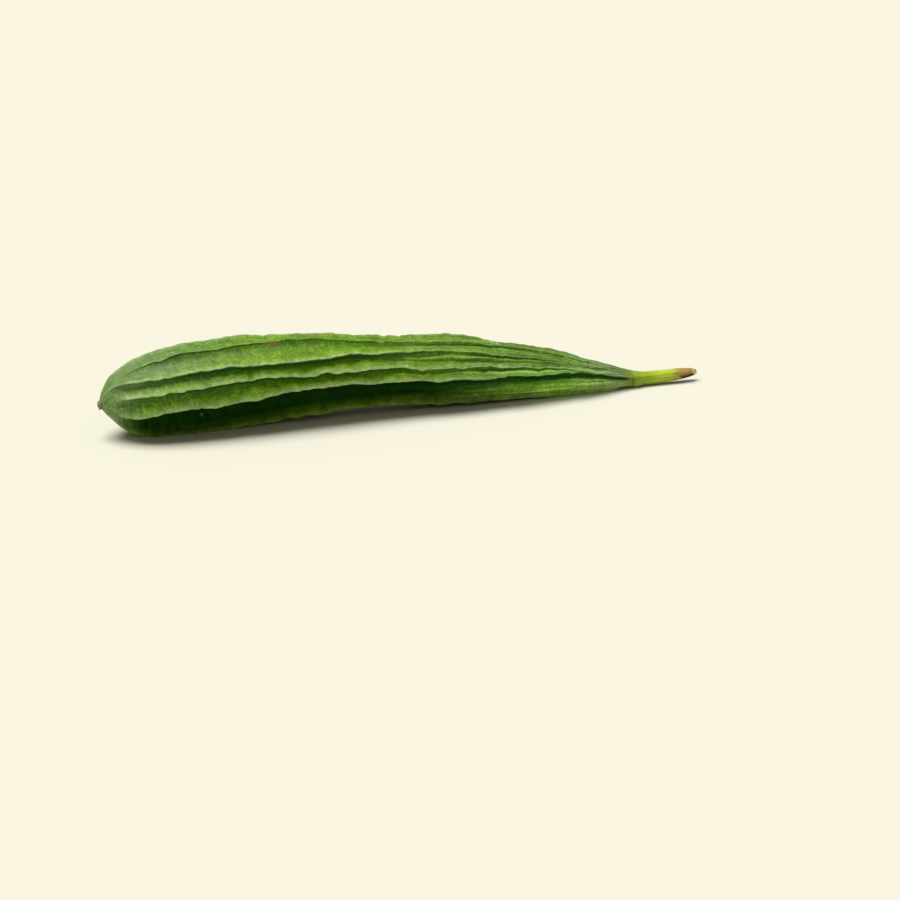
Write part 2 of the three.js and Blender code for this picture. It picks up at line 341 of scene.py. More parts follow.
def neckWrinkles(f, s, along, radius, crest, angle):
    # lengthwise folds between the ribs: ridges and creases of bell section that come up on the neck
    random = np.random.default_rng(s["seed"] + 1)
    folds = np.zeros_like(angle)
    ribs = len(f["ribAnglesAtBelly"])
    for n in range(s["wrinkles"]):
        k = n % ribs
        part = random.uniform(0.15, 0.85) + 0.06 * wander(along, 26.0, s["seed"] + 300 + n)
        away = awayFrom(crest, angle, radius, k, part)
        begin = random.uniform(0.42, 0.66) * f["length"]
        shown = rampUp(along, begin, begin + 35) * rampUp(f["length"] - along, random.uniform(0, 8), 45)
        strong = random.uniform(0.4, 1.0) * random.choice([-1.0, 1.0], p=[0.45, 0.55])
        folds += (strong * shown)[:, None] * bump(away, 0.0, s["wrinkleWidth"] * random.uniform(0.7, 1.3))
    for k, part, begin, end, height, width in s["ridges"]:
        shift = 0.9 * wander(along, 21.0, s["seed"] + 400 + k) / np.maximum(radius, 8)
        away = awayFrom(crest, angle, radius, k, part, shift)
        height = height * (1 + 0.4 * wander(along, 7.0, s["seed"] + 430 + k)) / s["wrinkleHeight"]
        shown = rampUp(along, begin, begin + 30) * rampUp(-along, -end, -end + 20)
        folds += (height * shown)[:, None] * bump(away, 0.0, width)
    return folds


def bellyToNeck(s, kind, along):
    # by ring and rib, from the belly's values to the neck's
    turned = rampUp(along, *s["changeSpan"])[:, None]
    return (1 - turned) * np.array(s["belly" + kind]) + turned * np.array(s["neck" + kind])


def brokenPart(s, along):
    # 1 where the broken rib is down, 0 where it is whole, and 0.15 where it has come up again
    begin = s["brokenAt"]
    return rampUp(along, begin, begin + 7) * (1 - 0.85 * rampUp(along, begin + 18, begin + 30))


def fruitSurface(f, s, detailed):
    # Each ring is the crest radius less the rib height, plus what each rib gives back:
    # exp(-(distance / flank)^power). With detail, crests are rounded, lean, stray, wave and stand unevenly.
    profile = girth(f)
    walked = np.append(0.0, np.cumsum(np.hypot(*np.diff(profile, axis=0).T)))
    even = np.linspace(0, walked[-1], s["rings"])
    radius, along = np.interp(even, walked, profile[:, 0]), np.interp(even, walked, profile[:, 1])
    ribs = len(f["ribAnglesAtBelly"])
    crest = crestAngles(f, along / f["length"])
    fade = rampUp(along, 0, f["ribFadeIn"]) * rampUp(f["length"] - along, -f["ribFadeOut"], f["ribFadeOut"])
    base = np.minimum(f["ribHeight"] * fade, f["slimmestShare"] * radius)[:, None]
    extra = np.zeros((len(along), ribs))
    if detailed:
        sideways, upDown = crestUnevenness(f, s, along)
        crest[:, :ribs] += sideways / np.maximum(radius, 8)[:, None]
        for k, degrees in s["stray"].items():
            path = curveThrough(np.stack([degrees, s["strayAt"]], -1), 1001)
            crest[:, k] += np.radians(np.interp(along, path[:, 1], path[:, 0]))
        crest[:, ribs] = crest[:, 0] + 2 * np.pi
        radius = radius - s["nosePinch"] * bump(along, 2.5, 3.5) * rampUp(along, 0, 1)
        base = base * rampUp(along, 0, s["noseSmooth"])[:, None]
        extra = upDown + base * (bellyToNeck(s, "Ribs", along) - 1.0)
        extra[:, s["faintRib"]] -= 0.85 * base[:, 0] * (1 - rampUp(along, 8, s["faintUntil"]))
        broken = brokenPart(s, along)
        extra[:, s["brokenRib"]] -= base[:, 0] * broken * (1 - s["brokenShare"])
        extra[:, s["swollenRib"]] += s["swelling"] * rampUp(along, 240, 270) * rampUp(-along, -297, -284)
    step = np.linspace(0, 1, s["columnsPerRib"], endpoint=False)
    phase = step - s["crowding"] * np.sin(2 * np.pi * step) / (2 * np.pi)
    low, high = crest[:, :-1, None], crest[:, 1:, None]
    angle = low + (high - low) * phase
    wide = radius[:, None, None]
    flank = f["ribFlank"] * (0.35 + 0.65 * wide / f["bellyRadius"])
    rounding, lean = (s["crestRounding"], s["lean"] * np.sin(angle)) if detailed else (0.0, 0.0)
    rounded = lambda away: np.sqrt(away**2 + rounding**2) - rounding
    share = lambda away, width: np.exp(-((rounded(away) / width) ** f["flankPower"]))
    fromLow, fromHigh = wide * (angle - low), wide * (high - angle)
    riseLow, riseHigh = share(fromLow, flank * (1 - lean)), share(fromHigh, flank * (1 + 1.6 * lean))
    together = 1 - (1 - riseLow) * (1 - riseHigh) if detailed else np.minimum(1, riseLow + riseHigh)
    extraHigh = np.roll(extra, -1, axis=1)[:, :, None]
    r = wide - base[:, :, None] * (1 - together) + extra[:, :, None] * riseLow + extraHigh * riseHigh
    flat = lambda grid: np.broadcast_to(grid, angle.shape).reshape(len(along), -1)
    return {
        "along": along,
        "radius": radius,
        "crest": crest,
        "angle": flat(angle),
        "r": flat(r),
        "turn": flat((np.arange(ribs)[:, None] + phase) / ribs),
        "phase": flat(phase),
        "fromLow": flat(fromLow),
        "fromHigh": flat(fromHigh),
        "together": flat(together),
        "rib": flat(np.arange(ribs)[:, None] + 0 * phase).astype(int),
    }


def marksOn(rings, marks):
    # blurred spots on the skin: the sum of strength exp(-(along / length)^2 - (around / width)^2)
    spots = np.zeros_like(rings["angle"])
    for place, rib, part, length, width, strength in marks:
        away = awayFrom(rings["crest"], rings["angle"], rings["radius"], rib, part)
        spots += strength * bump(rings["along"], place, length)[:, None] * bump(away, 0.0, width)
    return np.minimum(spots, 1.0)


def addSkinDetail(f, s, rings):
    # Lumps and wrinkles push the skin in and out. Ribs hang by droop sin(angle) (share of their height)^1.5.
    along, angle = rings["along"], rings["angle"]
    x = np.broadcast_to(along[:, None], angle.shape)
    ends = (rampUp(along, 3, 25) * rampUp(f["length"] - along, 2, 25))[:, None]
    lumps = sum(size * patches(x, rings["turn"], step, around, s["seed"] + 500 + around)
                for step, around, size in s["lumps"])
    rings["folds"] = neckWrinkles(f, s, along, rings["radius"], rings["crest"], angle)
    rings["r"] = rings["r"] + lumps * ends + s["wrinkleHeight"] * rings["folds"]
    hang = s["droop"] * np.sin(angle) * rings["together"] ** 1.5 * ends
    rings["angle"] = angle + hang / np.maximum(rings["radius"], 8)[:, None]


def ringsInPlace(f, rings):
    # each ring's points: the middle plus r times the direction out
    middle, way = fruitCurve(f, rings["along"] / f["length"])
    return middle[:, None] + rings["r"][..., None] * outFrom(way, rings["angle"])


def restingPlace(f, points):
    # the tilt that brings belly and neck down to one level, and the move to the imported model's place
    tilt = 0.0
    blossomHalf = points[..., 0] < f["length"] / 2
    for _ in range(12):
        tip = tipped(points, tilt)
        belly = np.unravel_index(np.argmin(np.where(blossomHalf, tip[..., 2], np.inf)), blossomHalf.shape)
        neck = np.unravel_index(np.argmin(np.where(blossomHalf, np.inf, tip[..., 2])), blossomHalf.shape)
        tilt += np.arctan2(tip[neck][2] - tip[belly][2], tip[neck][0] - tip[belly][0])
    tip = tipped(points, tilt).reshape(-1, 3)
    packed = (np.array(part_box("fruit")[0]) + np.array(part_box("fruit")[1])) / 2 / mm
    move = packed - (tip.min(0) + tip.max(0)) / 2
    move[2] = -tip[:, 2].min() - f["restFlat"]
    return tilt, move


def settled(points, tilt, move):
    # in metres, on the floor, with what would sink into it pressed flat
    points = (tipped(points, tilt) + move) * mm
    points[..., 2] = np.maximum(points[..., 2], 0.0)
    return points


def makeFruit(f, s):
    # The plain shape gives the tilt and the move, and the detailed one is set down with them. At the collar,
    # skin runs on along the fruit's direction by tongue (1 + 0.7 cos(5 angle) + 0.3 cos(11 angle)).
    plain = fruitSurface(f, s, False)
    tilt, move = restingPlace(f, ringsInPlace(f, plain))
    rings = fruitSurface(f, s, True)
    addSkinDetail(f, s, rings)
    along, angle = rings["along"], rings["angle"]
    middle, way = fruitCurve(f, np.array([0.0, 1.0]))
    reach = s["tongue"] * rampUp(along, f["length"] - s["tongueRoot"], f["length"])[:, None]
    tongues = reach * (1 + 0.7 * np.cos(5 * angle + 0.9) + 0.3 * np.cos(11 * angle))
    noseUp = np.array([0.0, 0.0, s["noseLift"]])
    points = ringsInPlace(f, rings) + tongues[..., None] * way[1]
    points += noseUp * (1 - rampUp(along, 0, s["noseLiftLength"]))[:, None, None]
    grid = settled(points, tilt, move)
    capped = [grid[0] * (1 - t) + grid[0].mean(0) * t for t in s["noseCap"]]
    middle[0] += noseUp
    piece = closedSurface("rind", np.concatenate([capped, grid]), settled(middle, tilt, move))
    noteSkin(piece, s, rings)
    return piece, tilt, move


def noteSkin(piece, s, rings):
    # What the material reads at each point. A crest's pale line is exp(-(distance / half width)^1.4). The
    # painted shadow beneath the crest above is full up to 0.7 width from it, then exp(-(distance / width)^2).
    keep = lambda name, values: note(piece, name, np.concatenate([values[:1]] * len(s["noseCap"]) + [values]))
    byRib = lambda kind, rib: np.take_along_axis(bellyToNeck(s, kind, rings["along"]), rib, 1)
    rib, phase, angle = rings["rib"], rings["phase"], rings["angle"]
    along = rings["along"][:, None] + 0 * angle
    toFront, upward = np.sin(angle), np.cos(angle)
    raised = rampUp(along, 1, s["noseSmooth"])

    # the crest line, pale where a whole rib stands up
    nearest = np.maximum(np.minimum(rings["fromLow"], rings["fromHigh"]), 0)
    here = rib + (phase > 0.5)
    whole = 1 - (here == s["faintRib"]) * (1 - rampUp(along, 8, s["faintUntil"]))
    whole = whole - (here == s["brokenRib"]) * brokenPart(s, along)
    here = here % len(s["crestLine"])
    lowerSide = (phase < 0.5) == (toFront > 0)
    line = np.array(s["crestLine"])[here] * np.where(lowerSide, *s["lineShares"])
    keep("crest", byRib("Pale", here) * np.exp(-((nearest / line) ** 1.4)) * raised * whole)
    keep("falls", 0.5 + (phase - 0.5) * toFront * raised)  # 0 beneath a crest, 1 above the next one down

    # painted shadow beneath the crest above
    upper = np.where(toFront > 0, rib, rib + 1) % len(s["crestLine"])
    beneath = np.where(toFront > 0, rings["fromLow"], rings["fromHigh"])
    width = byRib("LeeWidth", upper) * np.clip(rings["radius"][:, None] / s["fullLeeRadius"], 0.3, 1.0)
    leeShadow = byRib("Lee", upper) * np.minimum(1, beneath / 0.3)
    leeShadow = leeShadow * np.exp(-((np.maximum(beneath - 0.7 * width, 0) / width) ** 2.0))
    deepens = rampUp(along, 5, np.where(upper == s["faintRib"], 20, 50))
    keep("under", np.minimum(rampUp(np.abs(toFront), 0, 0.6) * leeShadow * deepens, 1.0))

    # painted shade on the faces of the belly underneath, bounded by their ribs, and on the underside of the
    # neck
    onNeck = rampUp(along, *s["neckSpan"])
    first, last = s["shadedRibs"][0], s["shadedRibs"][1] - 1
    shaded = (rib >= first) * (rib <= last)
    shaded = shaded * np.where(rib == first, rampUp(rings["fromLow"], 0, 0.8), 1)
    shaded = shaded * np.where(rib == last, rampUp(rings["fromHigh"], 0, 6), 1)
    shaded = shaded * rampUp(along, 0, 18) * (1 - onNeck) + rampUp(-upward, 0.55, 1.0) * onNeck
    keep("belly", shaded)
    # where the skin faces up: the material paints light and a sheen there
    keep("top", rampUp(upward, 0.3, 0.75))
    # the neck's lower side, which the material paints lighter
    keep("low", rampUp(-upward, -0.4, 0.05) * rampUp(along, *s["lowNeckSpan"]))

    keep("along", along)
    keep("folds", rings["folds"])
    keep("brown", marksOn(rings, s["brownMarks"]))
    keep("pale", marksOn(rings, s["paleMarks"]))
    keep("skinPlace", unrolled(along, 2 * np.pi * rings["turn"], s["unrolledRadius"]))


rind, tilt, move = makeFruit(fruit, skin)
print("rind", len(rind.data.polygons), "faces, tilt", round(float(np.degrees(tilt)), 2))

stem = {
    "length": 38.0,
    "inset": 0.2,
    "radius": 4.0,
    "profile": [(0.94, 0.16), (0.88, 0.45), (0.8, 0.7), (0.7, 0.88)],  # share of the radius, and where along
    "tipRadius": 1.9,
    "rise": 3.2,
    "bendAt": 0.18,
    "gap": 0.3,
    "sunk": 1.2,  # how far its root reaches into the fruit
    "corners": 5,
    "cornerShare": 0.045,
    "footHeight": 0.12,
    "fibres": 19,
    "fibreHeight": 0.07,
    "lumpHeight": 0.16,
    "flap": 0.9,  # one corner of the foot stands out this far
    "flapAngle": 2.3,  # radians from the top, towards the front
    "cutSlant": 4.0,  # how much longer one side is than the other
    "cutTurn": 1.25,  # the shorter side, in radians from the top towards the front
    "rimHeight": 0.35,
    "hollowDepth": 0.5,
    "rings": 150,
    "capRings": 14,
    "columns": 96,
    "unrolledRadius": 3.5,  # of the straight tube that its fibres are laid out on
    "seed": 31,
}


def stemCurve(f, s, tilt, share):
    # places and directions along the stem, which leaves the fruit straight and then bends up to its rise;
    # shares below 0 reach back into the fruit
    end, leaving = fruitCurve(f, np.array([1.0]))
    lift = tilt + np.radians(s["rise"])
    lifted = np.array([np.cos(lift), 0.0, np.sin(lift)])
    start = end[0] + leaving[0] * s["gap"]
    steer = start + leaving[0] * s["bendAt"] * s["length"]
    tip = steer + lifted * (1 - s["bendAt"]) * s["length"]
    places, ways = arch(start, steer, tip, np.clip(share, 0, 1))
    before = np.minimum(share, 0.0)[:, None] * s["length"]
    return places + before * leaving[0], ways


def makeStem(f, s, tilt, move):
    # A five-cornered tube: its radius follows a smooth profile times 1 + corner share cos(corners angle),
    # with fine ribs and a lobed foot that clasps the fruit. Past its end the rings close in over the slanted
    # cut, which is slightly hollow.
    root = f["collarRadius"] - s["inset"]
    outline = [(s["radius"] * share, place) for share, place in s["profile"]]
    profile = curveThrough([(root, 0), *outline, (s["tipRadius"], 1.0)], 2001)
    capRings = s["capRings"]
    sideRings = s["rings"] - capRings
    t = np.linspace(-s["sunk"] / s["length"], 1.0, sideRings)
    angle = np.linspace(0, 2 * np.pi, s["columns"], endpoint=False)[None]
    x = (t * s["length"])[:, None]
    r = np.interp(t, profile[:, 1], profile[:, 0])[:, None]
    cornersGrow = rampUp(x, -2.0, 3.0)
    r = r * (1 + s["cornerShare"] * cornersGrow * np.cos(s["corners"] * angle + 0.5 + 0.02 * x))
    r = r + s["fibreHeight"] * np.sin(s["fibres"] * angle + 1.3 * np.sin(x / 9)) * rampUp(x, 2, 8)
    r = r + s["lumpHeight"] * patches(x + 0 * angle, angle / (2 * np.pi) + 0 * x, 7.0, 7, s["seed"])
    foot = bump(x, 0.2, 2.0) * (0.55 + 0.45 * np.cos(s["corners"] * angle + 0.9))
    flap = bump(x, 1.0, 2.4) * np.exp(2.5 * (np.cos(angle - s["flapAngle"]) - 1))
    r = r + s["footHeight"] * foot + s["flap"] * flap
    wither = rampUp(x, 0.66 * s["length"], 0.95 * s["length"])
    r = r * (1 - 0.06 * wither * (1 + np.cos(2 * angle + 0.6))) + 0.12 * wither * np.sin(11 * angle + x)
    slant = s["cutSlant"] * (0.1 + np.cos(angle - s["cutTurn"])) / 2
    pulledBack = slant * rampUp(x, 0.6 * s["length"], s["length"])
    place, way = stemCurve(f, s, tilt, t)
    side = place[:, None] + r[..., None] * outFrom(way, angle) - pulledBack[..., None] * way[:, None]
    middle = side[-1].mean(0)
    inwards = np.linspace(0, 1, capRings + 2)[1:-1][:, None, None]
    hollowDepth = s["hollowDepth"]
    rim = s["rimHeight"] * bump(inwards, 0.0, 0.12)
    hollow = hollowDepth * rampUp(inwards, 0.1, 0.6)
    cap = side[-1] * (1 - inwards) + middle * inwards + way[-1] * (rim - hollow)
    grid = np.concatenate([side, cap])
    ends = np.stack([place[0], middle - way[-1] * hollowDepth])
    piece = closedSurface("stalk", settled(grid, tilt, move), settled(ends, tilt, move))
    distance = np.concatenate([x + 0 * angle - pulledBack, np.full((capRings, s["columns"]), s["length"])])
    capShare = np.broadcast_to(inwards[..., 0] ** 0.5, (capRings, s["columns"]))
    turn = np.broadcast_to(angle, distance.shape)
    note(piece, "along", distance)
    note(piece, "cut", np.concatenate([np.zeros_like(r), capShare]))
    note(piece, "underside", 0.5 - 0.5 * np.cos(turn - 0.3))
    note(piece, "skinPlace", unrolled(distance, turn, s["unrolledRadius"]))
    return piece


stalk = makeStem(fruit, stem, tilt, move)
print("stalk", len(stalk.data.polygons), "faces")

flower = {
    "length": 1.1,
    "inset": 0.3,
    "radius": 2.25,
    "gap": 0.3,
    "sunk": 1.2,  # how far its root reaches into the fruit
    "lift": 2.0,  # as the tip of the fruit
    "lobes": 5,
    "cupDepth": 0.5,
    "lobeShare": 0.05,
    "creases": 13,
    "creaseShare": 0.03,
    "lumpShare": 0.05,
    "tornHeight": 0.1,
    "sag": 0.5,
    "rings": 60,
    "columns": 90,
    "seed": 51,
}


def makeFlower(f, s, tilt, move):
    # A withered cup: out along the wall, over a torn rim, and down inside to its middle. Its radius is the
    # outline's times 1 + lobe share cos(lobes angle) + crease share cos(creases angle).
    root = f["noseRadius"] - s["inset"]
    rim = s["radius"] * 0.8
    height = s["length"]
    bottom = height - s["cupDepth"]
    outline = curveThrough([
        (root * 0.9, -s["sunk"] - s["gap"]), (root, 0.0), (root * 0.95, height * 0.3),
        (s["radius"], height * 0.72), (rim, height), (rim * 0.7, height * 0.93),
        (rim * 0.45, bottom + s["cupDepth"] * 0.2), (0.12, bottom)], s["rings"])
    angle = np.linspace(0, 2 * np.pi, s["columns"], endpoint=False)[None]
    turn = angle / (2 * np.pi)
    r, x = outline[:, :1], outline[:, 1:]
    t = np.linspace(0, 1, s["rings"])[:, None]
    opened = rampUp(t, 0.15, 0.55)
    twist = angle + 0.5 * opened
    lobes, creases = np.cos(s["lobes"] * twist), np.cos(s["creases"] * twist + 2 * t)
    r = r * (1 + s["lobeShare"] * opened * lobes + s["creaseShare"] * opened * creases)
    r = r * (1 + s["lumpShare"] * patches(6 * t + 0 * angle, turn + 0 * t, 1.0, 9, s["seed"]))
    torn = lobes + 0.5 * patches(0 * t + 0 * angle + 3.2, turn + 0 * t, 1.0, 17, s["seed"])
    x = x + s["tornHeight"] * bump(t, 0.56, 0.16) * torn
    places, ways = fruitCurve(f, np.array([0.0]))
    outwards = -ways[0]
    start = places[0] + outwards * s["gap"] + np.array([0.0, 0.0, s["lift"]])
    sag = np.array([0.0, 0.0, -s["sag"]]) * (np.clip(x, 0, None)[..., None] / s["length"]) ** 2
    grid = start + x[..., None] * outwards + r[..., None] * outFrom(ways[0], angle) + sag
    ends = settled(np.stack([start + outline[0, 1] * outwards, grid[-1].mean(0)]), tilt, move)
    piece = closedSurface("withered_cup", settled(grid, tilt, move)[:, ::-1], ends)
    note(piece, "depth", np.broadcast_to(t, r.shape))
    return piece


witheredCup = makeFlower(fruit, flower, tilt, move)
print("withered cup", len(witheredCup.data.polygons), "faces")


def linear(code):
    # an sRGB hex colour as the linear numbers that a shader takes
    parts = np.array([int(code[i:i + 2], 16) for i in (1, 3, 5)]) / 255
    return (*np.where(parts <= 0.04045, parts / 12.92, ((parts + 0.055) / 1.055) ** 2.4).tolist(), 1.0)


def addNode(tree, kind, settings=None, give=0, stops=None, **inputs):
    # Adds one node and returns an output of it. Inputs go by name, or by number as n0, n1 and so on,
    # and take another node's output, a number, a list of numbers or a hex colour.
    node = tree.nodes.new("ShaderNode" + kind)
    for name, value in (settings or {}).items():
        setattr(node, name, value)
    for name, value in inputs.items():
        socket = node.inputs[int(name[1:])] if name[1:].isdigit() else node.inputs[name.replace("_", " ")]
        if isinstance(value, bpy.types.NodeSocket):
            tree.links.new(value, socket)
        else:
            socket.default_value = linear(value) if isinstance(value, str) else value
    for n, (place, colour) in enumerate(stops or []):
        element = node.color_ramp.elements[n] if n < 2 else node.color_ramp.elements.new(place)
        element.position = place
        element.color = linear(colour)
    return node.outputs[give] if len(node.outputs) else node


def newMaterial(name):
    # a material with nothing in it yet, and its tree
    material = bpy.data.materials.new(name)
    material.use_nodes = True
    material.node_tree.nodes.clear()
    return material, material.node_tree


def surfaced(tree, **inputs):
    # gives the material its surface
    addNode(tree, "OutputMaterial", Surface=addNode(tree, "BsdfPrincipled", **inputs))


def noted(tree, name, give=2):
    # what the piece keeps at each point under this name; give=1 is for a place
    return addNode(tree, "Attribute", {"attribute_name": name}, give)


def ranged(tree, value, span, ease=False):
    # one range turned into another: span has its low and high values, and what they become
    settings = {"interpolation_type": "SMOOTHSTEP" if ease else "LINEAR"}
    low, high, lowGives, highGives = span
    return addNode(tree, "MapRange", settings, Value=value, From_Min=low, From_Max=high,
                   To_Min=lowGives, To_Max=highGives)


def worked(tree, operation, *values, clamp=False):
    # a step of arithmetic
    inputs = {"n" + str(n): value for n, value in enumerate(values)}
    return addNode(tree, "Math", {"operation": operation, "use_clamp": clamp}, **inputs)


def between(tree, share, first, second):
    # first (1 - share) + second share, for numbers
    return addNode(tree, "Mix", n0=share, n2=first, n3=second)


def covered(tree, share, beneath, cover):
    # the same for colours
    return addNode(tree, "Mix", {"data_type": "RGBA"}, 2, n0=share, n6=beneath, n7=cover)


def shadedBy(tree, colour, shade):
    # colour times shade
    return addNode(tree, "VectorMath", {"operation": "SCALE"}, n0=colour, n3=shade)


def noiseOf(tree, place, length, width, detail, roughness=0.5):
    # a noise with patches this long and wide, in millimetres
    scale = (1 / (length * mm), 1 / (width * mm), 1 / (width * mm))
    stretched = addNode(tree, "Mapping", Vector=place, Scale=scale)
    return addNode(tree, "TexNoise", Vector=stretched, Scale=1.0, Detail=detail, Roughness=roughness)


def evenNoise(tree, place, size, detail, roughness):
    # a noise with round patches of this size, in millimetres
    return addNode(tree, "TexNoise", Vector=place, Scale=1 / (size * mm), Detail=detail, Roughness=roughness)


rindLook = {
    # the flank colours, from painted shade beneath a crest to painted light above the next one down
    "shadowBeneathCrest": "#144e00",
    "face": "#4a8000",
    "litLowerFace": "#6da200",
    "lightAboveCrest": "#8ab630",
    "crest": "#abc284",
    "bellyCrest": "#9cc04c",
    # painted light on the top
    "paintedTopLight": "#96b64a",
    "yellower": "#7e9c00",
    "bluer": "#3a700f",
    # a real wax bloom, painted paler as a sheen on the top and over the dome
    "bloomAndSheen": "#7c9566",
    "neck": "#678c34",
    "stemEnd": "#748a55",
    "edge": "#88a52a",
    # painted shadow beneath the crests
    "leeShadow": "#084c00",
    # painted shade underneath
    "belly": "#022e00",
    "brown": "#96784e",
    "pale": "#dfe6cf",
    # each noise's length along the fruit and width around it in millimetres, and its detail
    "noises": {
        "patch": (36.0, 14.0, 2.0),
        "mottle": (4.4, 3.6, 3.0),
        "speck": (1.4, 1.2, 2.0),
        "streak": (28.0, 0.75, 2.0),
        "cross": (1.1, 9.0, 2.0),
    },
    "noiseRoughness": 0.55,
    "grainSize": 0.8,
    # where each comes in along the fruit, in millimetres from and to, and its strength at these two places
    "paintedTopLightAlong": (230.0, 170.0, 0.0, 0.27),
    "bloomAndSheenAlong": (95.0, 8.0, 0.0, 0.62),
    "noseAlong": (26.0, 6.0, 0.0, 1.0),
    "neckAlong": (140.0, 225.0, 0.0, 0.84),
    "stemEndAlong": (248.0, 290.0, 0.0, 0.85),
    "edgeAlong": (292.0, 299.0, 0.0, 0.9),
    "streaksAlong": (120.0, 220.0, 0.12, 1.0),
    "crossesAlong": (62.0, 22.0, 0.0, 1.0),
    # painted light on the neck's lower side, rising along it, and the factor the rest of the skin gets
    "lowNeckPaintedLightAlong": (195.0, 270.0, 1.0, 2.3),
    "lowSideShade": 0.9,
    # a noise's or another value's low and high, and what they give
    "mottleShift": (0.3, 0.7, -0.1, 0.1),
    "yellowPatches": (0.52, 0.75, 0.0, 0.55),
    "bluePatches": (0.46, 0.25, 0.0, 0.3),
    "sheenOnTop": (0.0, 1.0, 0.3, 1.0),
    "leeMottle": (0.3, 0.7, 0.8, 1.0),
    "bellyFalls": (0.5, 0.74, 0.97, 0.72),
    "mottleShade": (0.25, 0.75, 0.72, 1.28),
    "speckShade": (0.3, 0.7, 0.68, 1.32),
    "grainShade": (0.3, 0.7, 0.85, 1.15),
    "streakShade": (0.3, 0.7, -0.5, 0.5),
    "crossShade": (0.45, 0.72, 0.0, 0.8),
    # painted shade in the creases of the folds and painted light on their ridges
    "foldLightAndShade": (-1.0, 1.5, 0.42, 1.4),
    "crestRubbing": (0.3, 0.6, 0.35, 0.95),
    "mottleGloss": (0.3, 0.7, 0.38, 0.56),
    "crestDullness": 0.12,
    "shineUnderPaintedShade": (0.0, 1.0, 0.18, 0.04),
    "mottleHeight": 1.2,
    "bumpHeight": 0.35,
}


